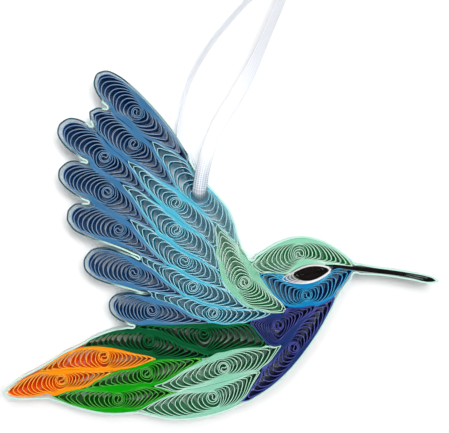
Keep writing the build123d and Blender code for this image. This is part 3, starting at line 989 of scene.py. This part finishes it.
@dataclass
class EyeCore(Piece):
    """Tight near-black roll, pressed to an almond, that fills the eye.

    Attributes:
        turns: Number of its turns.
        thickness: Thickness of the strip.
        recess: Half of how far a turn may lie behind the front of the bird.
        seed: Start of the small irregularities.
    """

    form = "roll"
    node: str = "eye_core"
    paper: Paper = Paper.NEAR_BLACK
    turns: int = 9
    thickness: float = 0.15 * MM
    recess: float = 0.12 * MM
    seed: int = 71

    def _strips(self, solid: bpy.types.Object) -> list[Strip]:
        """Rolls the core.

        Args:
            solid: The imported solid.

        Returns:
            The one strip, which fills the solid's closed edge.
        """
        outline = smoothed(front_loops(solid)[0], corner=50, step=0.16 * MM)
        outline = outline - outward(outline) * self.thickness / 2
        centre = outline.mean(axis=0)
        rays = outline - centre
        along = np.arange(len(rays)) / len(rays)
        chance = np.random.default_rng(self.seed)
        points, recess = [], []
        for turn in range(self.turns):
            share = (turn + along + 0.35) / self.turns
            wobble = 1 + 0.03 * np.sin(along * math.tau * 2 + chance.uniform(0, 6))
            points.append(centre + rays * np.minimum(share * wobble, 1.0)[:, None])
            recess.append(self.recess * (1 + np.sin(share * 23 + turn)))
        return [Strip(np.vstack(points), self.thickness, free=0.0, recess=np.concatenate(recess))]


@dataclass
class Beak(Piece):
    """Black strip folded double, its fold at the beak's tip, with a third layer between.

    Attributes:
        thickness: Thickness of the strip.
        recess: How far the third layer lies behind the front of the bird.
    """

    form = "strip"
    node: str = "beak"
    paper: Paper = Paper.NEAR_BLACK
    thickness: float = 0.2 * MM
    recess: float = 0.1 * MM

    def _strips(self, solid: bpy.types.Object) -> list[Strip]:
        """Folds the beak.

        Args:
            solid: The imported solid.

        Returns:
            The folded strip round the solid's edge, and the layer inside its fold.
        """
        outline = smoothed(front_loops(solid)[0], corner=42, step=0.2 * MM)
        path = outline - outward(outline) * self.thickness / 2
        path = np.roll(path, -int(np.argmin(path[:, 0])), axis=0)
        tip = int(np.argmax(path[:, 0]))
        under, over = path[2:tip - 3], path[:tip + 3:-1]
        middle = np.array([(point + over[int(np.argmin(np.linalg.norm(over - point, axis=1)))]) / 2
                           for point in under])
        return [Strip(path, self.thickness, closed=True, free=0.0),
                Strip(middle, self.thickness, free=0.0, recess=self.recess)]


@dataclass
class Contour(Piece):
    """The pale strip that is glued round the outside of all the coils.

    Attributes:
        thickness: Thickness of the strip.
        rounding: Radius to which it rounds off the notches between the coils.
        step: Distance between its points.
        bridge: Depth of the dents that it draws straight over.
        reach: Length over which it does so.
        wing: X and Z from the slot, up to and above which its slit edge takes painted shade where it curls
            outwards.
    """

    form = "strip"
    node: str = "contour"
    paper: Paper = Paper.MINT_CONTOUR
    thickness: float = 0.34 * MM
    rounding: float = 0.42 * MM
    step: float = 0.2 * MM
    bridge: float = 0.3 * MM
    reach: float = 2.2 * MM
    wing: tuple[float, float] = (2.0 * MM, -31.0 * MM)

    def _strips(self, solid: bpy.types.Object) -> list[Strip]:
        """Lays the strip round the coils.

        Args:
            solid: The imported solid.

        Returns:
            The one strip along the solid's outer edge, round in its notches.
        """
        outline = smoothed(front_loops(solid)[0], corner=42, step=self.step, easing=0.35 * MM)
        outline = outline - outward(outline) * self.thickness / 2
        soft = softened(outline, int((self.rounding / self.step) ** 2 * 2))
        moved = ((soft - outline) * outward(outline)).sum(1)
        path = np.where((moved > 0)[:, None], soft, outline)
        path = spaced(softened(path, 4), self.step)
        path = spaced(self._bridged(path), self.step)
        return [Strip(path, self.thickness, closed=True, free=0.0, tip_shade=self._tip_shade(path))]

    def _bridged(self, path: np.ndarray) -> np.ndarray:
        """Draws the strip straight over shallow dents.

        Args:
            path: Closed path of the strip.

        Returns:
            The path without the shallow dents between neighbouring coils.
        """
        for _ in range(3):
            taut = softened(path, int((self.reach / self.step) ** 2 * 2))
            dent = ((taut - path) * outward(path)).sum(1)
            shift = np.maximum(dent, 0) * np.clip(1.6 - dent / self.bridge, 0, 1)
            path = path + outward(path) * softened(shift[:, None], 12)
        return path

    def _tip_shade(self, path: np.ndarray) -> np.ndarray:
        """Finds where the strip curls outwards along the wing, where its slit edge takes painted shade.

        Args:
            path: Closed path of the strip.

        Returns:
            Strength of the painted shade, from 0 to 1 at each point.
        """
        bend = softened(outward(path), 30)
        hollow = (np.roll(bend, 1, 0) * outward(path)).sum(1)
        turn = (np.roll(bend, -3, 0) - np.roll(bend, 3, 0)) * (np.roll(path, -1, 0) - np.roll(path, 1, 0))
        curve = softened(turn.sum(1) / self.step ** 2 / 12 * hollow, 30)
        local = path - np.array([SLOT_X, SLOT_Z])
        on_wing = np.clip((local[:, 1] - self.wing[1]) / (1.5 * MM), 0, 1)
        on_wing *= np.clip((self.wing[0] - local[:, 0]) / (2.0 * MM), 0, 1)
        return on_wing * np.clip((curve * MM + 0.02) / 0.06, 0, 1)


# Ribbon

# Corners round a flat band: share of its half width, and which of its faces they lie on
BAND_SHARES = np.linspace(-1, 1, 15)
BAND_RING = [(share, 1.0) for share in BAND_SHARES] + [(share, -1.0) for share in BAND_SHARES[::-1]]


def band_faces(rings: int) -> list[list[int]]:
    """Lists the faces of a closed flat band.

    Args:
        rings: Number of its rings of corners.

    Returns:
        Corners of each face, first along the band and then at its two cut ends.
    """
    size = len(BAND_RING)
    faces = [[row + place, row + (place + 1) % size, row + size + (place + 1) % size, row + size + place]
             for row in range(0, (rings - 1) * size, size) for place in range(size)]
    last = (rings - 1) * size
    for place in range(len(BAND_SHARES) - 1):
        other = size - 1 - place
        faces.append([place, other, other - 1, place + 1])
        faces.append([last + place, last + place + 1, last + other - 1, last + other])
    return faces


def woven(name: str, verts: Sequence, faces: list[list[int]], places: Sequence) -> bpy.types.Mesh:
    """Makes a smooth mesh of ribbon.

    Args:
        name: Name of the mesh.
        verts: Its corners.
        faces: Corners of each face.
        places: Place of each corner on the weave, across the ribbon and along it.

    Returns:
        The mesh, with its map for the weave.
    """
    mesh = bpy.data.meshes.new(name)
    mesh.from_pydata([tuple(v) for v in verts], [], faces)
    layer = mesh.uv_layers.new(name=WEAVE_MAP)
    layer.data.foreach_set("uv", [value for loop in mesh.loops for value in places[loop.vertex_index]])
    mesh.polygons.foreach_set("use_smooth", [True] * len(faces))
    mesh.update()
    return mesh


def eased(share: np.ndarray) -> np.ndarray:
    """Rise from 0 to 1 that starts and ends gently."""
    share = np.clip(share, 0, 1)
    return share ** 2 * (3 - 2 * share)


@dataclass
class Strand:
    """One strand of the ribbon from the slot up to the knot.

    Attributes:
        name: Name of the strand.
        route: X, Y and Z of the route's control points, in millimetres from the slot.
        twist: Angle in degrees by which the band turns away from the front.
        between: Where the twist starts, is full, starts to go back and is gone, in millimetres.
        cup: How far the middle of the band bulges where the eye squeezes it.
    """

    name: str
    route: tuple[tuple[float, float, float], ...]
    twist: float
    between: tuple[float, float, float, float]
    cup: float

    def line(self) -> np.ndarray:
        """Draws the strand's route.

        Returns:
            Points along the smooth curve that the strand follows.
        """
        curve = bpy.data.curves.new(f"{self.name}.route", "CURVE")
        curve.dimensions = "3D"
        curve.resolution_u = 14
        spline = curve.splines.new("NURBS")
        spline.points.add(len(self.route) - 1)
        for point, (x, y, z) in zip(spline.points, self.route):
            point.co = (SLOT_X + x * MM, y * MM, SLOT_Z + z * MM, 1.0)
        spline.order_u = 3
        spline.use_endpoint_u = True
        holder = bpy.data.objects.new(f"{self.name}.route", curve)
        bpy.context.scene.collection.objects.link(holder)
        mesh = bpy.data.meshes.new_from_object(holder)
        line = np.array([v.co for v in mesh.vertices])
        bpy.data.objects.remove(holder)
        bpy.data.meshes.remove(mesh)
        return line

    def turned(self, run: np.ndarray) -> np.ndarray:
        """Turns the band between its places of twist.

        Args:
            run: Distances along the strand.

        Returns:
            Twist in radians at each of them.
        """
        start, full, back, gone = (distance * MM for distance in self.between)
        return math.radians(self.twist) * (
            eased((run - start) / (full - start)) * (1 - eased((run - back) / (gone - back))))

    def bulge(self, run: np.ndarray) -> np.ndarray:
        """Height of the band's middle over its edges at each distance along the strand."""
        return self.cup * (1 - eased((run - 3 * MM) / (13 * MM)))


@dataclass
class Ribbon:
    """White ribbon: one strand in front of the bird and one behind it, closed in a knot above.

    Attributes:
        width: Width of the ribbon.
        thickness: Its thickness.
        knot_radius: Radius of the wraps round the knot.
        knot_height: Height of the knot.
        strands: The strand in front of the bird and the one behind it.
        wraps: Tilt of each wrap, and its share of the knot's radius.
        ends: Side, lean and length of each end of the ribbon above the knot.
        slot: Material slot of the record, not used.
    """

    width: float = 3.2 * MM
    thickness: float = 0.3 * MM
    knot_radius: float = 1.75 * MM
    knot_height: float = 3.4 * MM
    strands: tuple[Strand, ...] = (
        Strand("ribbon.front", (
            (0.0, 0.0, 0.3), (0.0, -2.6, 0.8), (0.2, -3.1, 2.2), (1.0, -3.4, 7.0), (3.7, -3.6, 15.5),
            (10.2, -3.2, 25.5), (15.0, -2.4, 35.5), (25.1, -0.4, 60.3)),
            twist=55.0, between=(20, 44, 56, 66), cup=1.2 * MM),
        Strand("ribbon.back", (
            (0.0, 0.0, 0.0), (0.0, 2.6, 0.1), (-0.4, 3.0, 1.6), (-3.0, 3.1, 8.5), (-4.8, 1.9, 17.5),
            (-2.4, 1.4, 28.5), (6.2, 1.4, 41.5), (25.1, 0.4, 60.3)),
            twist=78.0, between=(11, 24, 52, 70), cup=0.2 * MM),
    )
    wraps: tuple[tuple[float, float], ...] = ((0.42, 1.0), (-0.5, 0.93))
    ends: tuple[tuple[int, float, float], ...] = ((-1, 0.5, 6.6 * MM), (1, 0.42, 6.9 * MM))
    slot: str = "white_ribbon"

    def build(self) -> list[bpy.types.Object]:
        """Builds the ribbon.

        Returns:
            The knot and both strands.
        """
        finish = RibbonFinish().build()
        knot = self._knot(finish)
        made = [knot]
        for strand in self.strands:
            line = strand.line()
            run = run_of(line)
            mesh = self._band(strand.name, line, self.width, strand.turned(run), strand.bulge(run))
            band = joined(strand.name, [mesh], [finish], "ribbon")
            made.append(band)
            LOG.info("%s is %.1f mm long", strand.name, run[-1] / MM)
        return made

    def _band(self, name: str, line: np.ndarray, width: float, turned: np.ndarray, bulge: np.ndarray,
              cut: float = 0.0) -> bpy.types.Mesh:
        """Lays a flat band along a line.

        Args:
            name: Name of the mesh.
            line: Points along the middle of the band.
            width: Width of the band.
            turned: Angle at each point by which the band is twisted away from the front.
            bulge: Height of the band's middle over its edges at each point.
            cut: Slant of the cut at the band's far end, as a share of its width.

        Returns:
            The closed mesh.
        """
        along = np.gradient(line, axis=0)
        along /= np.linalg.norm(along, axis=1)[:, None]
        ahead = np.array([1.0, 0.0, 0.0]) - along * along[:, :1]
        ahead /= np.linalg.norm(ahead, axis=1)[:, None]
        thin = np.cross(along, ahead)
        across = ahead * np.cos(turned)[:, None] + thin * np.sin(turned)[:, None]
        thin = np.cross(along, across)
        run = run_of(line)
        verts, places = [], []
        for index, at in enumerate(line):
            slant = cut * width if index == len(line) - 1 else 0.0
            for share, face in BAND_RING:
                rise = bulge[index] * (1 - share ** 2)
                verts.append(at + across[index] * share * width / 2 + along[index] * slant * share / 2
                             + thin[index] * (face * self.thickness / 2 * (1 - 0.35 * share ** 6) - rise))
                places.append((share * width / 2, run[index]))
        return woven(name, verts, band_faces(len(line)), places)

    def _knot(self, finish: bpy.types.Material) -> bpy.types.Object:
        """Ties the knot.

        Args:
            finish: Material of the ribbon.

        Returns:
            Two crossed wraps round a tight core, with the ribbon's two ends above it.
        """
        middle = self.knot_height / 2
        meshes = [self._wrap(number, middle) for number in range(len(self.wraps))]
        meshes.append(self._core(middle))
        for side, lean, length in self.ends:
            share = np.linspace(0, 1, 18)
            line = np.column_stack([side * np.sin(share * lean * 1.4) * length * 0.5,
                                    0.5 * MM * side * np.sin(share * 3.0),
                                    middle + 0.5 * MM + share * length * math.cos(lean * 0.7)])
            meshes.append(self._band(f"end {side}", line, self.width * 0.9, turned=side * 0.5 * share,
                                     bulge=0.25 * MM * (1 - share * 0.5), cut=0.35 * side))
        return joined("ribbon.knot", meshes, [finish], "ribbon_knot")

    def _wrap(self, number: int, middle: float) -> bpy.types.Mesh:
        """Winds one creased wrap round the knot.

        Args:
            number: Which of the wraps it is.
            middle: Height of the knot's middle.

        Returns:
            The closed mesh.
        """
        tilt, radius = self.wraps[number]
        turn = np.linspace(0.3 + number, math.tau + 0.5 + number, 44)
        spiral = radius * (1 - 0.05 * turn / math.tau)
        line = np.column_stack([np.cos(turn) * self.knot_radius * spiral,
                                np.sin(turn) * self.knot_radius * 0.86 * spiral,
                                middle + np.cos(turn) * self.knot_radius * tilt])
        run = run_of(line)
        outwards = line * np.array([1.0, 1.0, 0.0])
        outwards /= np.linalg.norm(outwards, axis=1)[:, None]
        up = np.array([0.0, 0.0, 1.0])
        verts, places = [], []
        for index, at in enumerate(line):
            narrow = 0.78 + 0.1 * math.sin(index * 0.5)
            for share, face in BAND_RING:
                crease = 0.1 * MM * math.sin(share * 7 + index * 0.12) - 0.45 * MM * share ** 2
                verts.append(at + up * share * self.width / 2 * narrow * 0.8
                             + outwards[index] * (face * self.thickness / 2 + crease))
                places.append((share * self.width / 2, run[index] + 0.03))
        faces = [face[::-1] for face in band_faces(len(line))]
        return woven(f"wrap {number}", verts, faces, places)

    def _core(self, middle: float) -> bpy.types.Mesh:
        """Draws the ribbon tight inside the wraps.

        Args:
            middle: Height of the knot's middle.

        Returns:
            An upright egg with soft ripples.
        """
        half = self.knot_height * 0.46
        verts = [(0.0, 0.0, middle - half)]
        rows, columns = 9, 20
        for row in range(1, rows):
            slope = math.pi * row / rows
            for column in range(columns):
                turn = math.tau * column / columns
                radius = math.sin(slope) * self.knot_radius * 0.82 * (1 + 0.06 * math.sin(turn * 5 + row))
                verts.append((math.cos(turn) * radius, math.sin(turn) * radius * 0.85,
                              middle - math.cos(slope) * half))
        verts.append((0.0, 0.0, middle + half))
        top = len(verts) - 1
        faces = []
        for column in range(columns):
            after = (column + 1) % columns
            faces.append([0, 1 + after, 1 + column])
            faces.append([top, top - columns + column, top - columns + after])
            for row in range(rows - 2):
                low, high = 1 + row * columns, 1 + (row + 1) * columns
                faces.append([low + column, low + after, high + after, high + column])
        return woven("core", verts, faces, [vert[::2] for vert in verts])


# Studio


@dataclass(frozen=True)
class Lamp:
    """Square soft lamp in front of the bird or behind it.

    Attributes:
        name: What it stands for.
        aside: How far it stands to the right of the bird and above it, in metres.
        size: Side of its face in metres.
        share: Share of the board's white that it gives.
        ahead: Metres in front of the bird, or behind it where negative.
    """

    name: str
    aside: tuple[float, float]
    size: float
    share: float
    ahead: float = 1.0

    def build(self, aim: Vector, full: float) -> None:
        """Hangs the lamp.

        Args:
            aim: Middle of the bird.
            full: Power in watts that lights the board to white from one metre straight in front.
        """
        offset = Vector((self.aside[0], -self.ahead, self.aside[1]))
        lamp = bpy.data.lights.new(self.name, "AREA")
        lamp.shape = "SQUARE"
        lamp.size = self.size
        lamp.energy = self.share * full * offset.length ** 3
        made = bpy.data.objects.new(self.name, lamp)
        made.location = aim + offset
        made.rotation_mode = "QUATERNION"
        made.rotation_quaternion = offset.to_track_quat("Z", "Y")
        bpy.context.scene.collection.objects.link(made)
        made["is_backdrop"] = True


@dataclass
class Studio:
    """White board just behind the bird, five soft lamps in front, one behind the board, and the camera.

    Attributes:
        board: Side of the board.
        board_gap: Room between the bird's back and the board, in which the ribbon passes.
        centre: X and Z of what the camera looks at.
        distance: Distance of the camera from the bird's front.
        lens: Focal length in millimetres.
        room: Strength of the room's even light.
        bounces: How often light may bounce between the walls of a coil.
        full: Power in watts that lights the board to white from one metre straight in front.
        lamps: The lamps, of which the first casts the clearest shadow.
    """

    board: float = 0.7
    board_gap: float = 0.9 * MM
    centre: tuple[float, float] = (-19.24 * MM, -64.01 * MM)
    distance: float = 170 * MM
    lens: float = 59.3
    room: float = 0.10
    bounces: int = 12
    full: float = 11.4
    lamps: tuple[Lamp, ...] = (
        Lamp("studio window", (0.26, 0.28), size=0.3, share=0.32),
        Lamp("studio softbox above", (0.0, 0.6), size=0.5, share=0.2),
        Lamp("studio softbox right", (0.55, 0.1), size=0.5, share=0.18),
        Lamp("studio softbox left", (-0.62, 0.1), size=0.5, share=0.15),
        Lamp("studio softbox below", (0.0, -0.6), size=0.5, share=0.05),
        Lamp("studio softbox behind", (0.3, 0.4), size=0.6, share=0.3, ahead=-1.0),
    )

    def build(self) -> None:
        """Builds the board, the lights and the camera."""
        half = self.board / 2
        mesh = bpy.data.meshes.new("studio.board")
        mesh.from_pydata([(-half, -half, 0), (half, -half, 0), (half, half, 0), (-half, half, 0)], [],
                         [[0, 1, 2, 3]])
        mesh.materials.append(TableFinish().build())
        board = bpy.data.objects.new("studio.board", mesh)
        bpy.context.scene.collection.objects.link(board)
        board.location = (self.centre[0], STRIP_DEPTH / 2 + self.board_gap, self.centre[1])
        board.rotation_euler = (math.radians(90), 0, 0)
        board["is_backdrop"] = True
        self._light()
        self._camera()

    def _light(self) -> None:
        """Even light from the room, which the eye sees as white, and the lamps."""
        world = bpy.data.worlds.new("studio room")
        world.use_nodes = True
        tree = world.node_tree
        level = add_node(tree, "ShaderNodeMapRange", {"To Min": self.room, "To Max": 1.0},
                         {"Value": seen_directly(tree)})
        tree.nodes["Background"].inputs["Color"].default_value = (1, 1, 1, 1)
        tree.links.new(level.outputs["Result"], tree.nodes["Background"].inputs["Strength"])
        bpy.context.scene.world = world
        bpy.context.scene.cycles.diffuse_bounces = self.bounces
        for lamp in self.lamps:
            lamp.build(Vector((self.centre[0], 0, self.centre[1])), self.full)

    def _camera(self) -> None:
        """Camera square to the bird at the photograph's distance."""
        data = bpy.data.cameras.new("camera")
        data.lens = self.lens
        data.sensor_width = 36.0
        data.clip_start = 0.005
        data.clip_end = 10
        made = bpy.data.objects.new("camera", data)
        made.location = (self.centre[0], -STRIP_DEPTH / 2 - self.distance, self.centre[1])
        made.rotation_euler = (math.radians(90), 0, 0)
        bpy.context.scene.collection.objects.link(made)
        bpy.context.scene.camera = made


# The coils, each with its paper, the place of its eye, its number of turns and its seed

WING_FOOT = End(growth=1.5, sharpness=0.8)
TAIL_TIP = End(retreat=0.7 * MM)


def wing_tip(retreat: float) -> End:
    """Round end of a wing coil whose outermost turn stands back from the contour, in millimetres."""
    return End(growth=1.05, lean=0.45, sharpness=0.0, stand_off=0.15, retreat=retreat * MM)


COILS: tuple[Coil, ...] = (
    Coil("shoulder", Paper.MINT_GREEN, (10.5, -19.8), 11, 11),
    Coil("crown", Paper.MINT_GREEN, (23.1, -13.3), 10, 12),
    Coil("face", Paper.AZURE, (24.7, -22.8), 9, 13),
    Coil("secondary_1", Paper.TURQUOISE, (0.0, 0.0), 8, 21, eye_radius=1.85 * MM, open_eye=True),
    *(Coil(f"secondary_{number}", Paper.TURQUOISE, eye, 9, 20 + number) for number, eye in enumerate(
        ((-5.3, -1.6), (-5.3, -7.8), (-3.4, -14.9), (-1.4, -20.9), (3.2, -26.9)), 2)),
    *(Coil(f"primary_{number}", Paper.STEEL_BLUE, (x, z), 9, 30 + number, wing_tip(retreat), WING_FOOT,
           heading=140) for number, (x, z, retreat) in enumerate(
        ((-14.3, 19.3, 0.35), (-14.9, 12.0, 0.4), (-21.7, 9.0, 0.75), (-21.1, 0.9, 0.7),
         (-18.4, -7.6, 0.75), (-14.9, -17.5, 0.6), (-10.8, -26.2, 0.6)), 1)),
    Coil("breast_2", Paper.NAVY, (21.8, -34.9), 10, 41),
    Coil("breast_1", Paper.NAVY, (18.2, -29.7), 9, 42),
    Coil("belly_1", Paper.PALE_GREEN, (5.7, -39.5), 10, 51),
    Coil("belly_2", Paper.PALE_GREEN, (3.1, -46.2), 11, 52),
    Coil("rump_1", Paper.DARK_GREEN, (1.1, -31.8), 10, 53),
    Coil("rump_2", Paper.DARK_GREEN, (-11.5, -33.3), 11, 54),
    Coil("tail_orange_1", Paper.ORANGE, (-21.9, -36.9), 11, 61),
    Coil("tail_orange_2", Paper.ORANGE, (-31.7, -42.4), 11, 62, TAIL_TIP, heading=205),
    Coil("tail_green_1", Paper.BRIGHT_GREEN, (-12.1, -40.7), 10, 63),
    Coil("tail_green_2", Paper.BRIGHT_GREEN, (-18.6, -46.7), 11, 64),
)


def note_size(name: str, sizes: dict) -> None:
    """Args:
        name: When the bounds were taken.
        sizes: The record so far.
    """
    low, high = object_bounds()
    sizes[name] = {"low": [round(v, 6) for v in low], "high": [round(v, 6) for v in high]}


def main() -> None:
    """Builds the pieces in order and notes the size of what is shown."""
    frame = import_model()
    sizes: dict = {}
    note_size("packed", sizes)
    bpy.context.scene.view_settings.view_transform = "Standard"
    Studio().build()
    for piece in (*COILS, EyeRing(), EyeCore(), Beak(), Contour()):
        made = piece.build(frame["nodes"][piece.node])
        LOG.info("%s: %d faces", made.name, len(made.data.polygons))
    Ribbon().build()
    note_size("dressed", sizes)


if __name__ == "__main__":
    main()
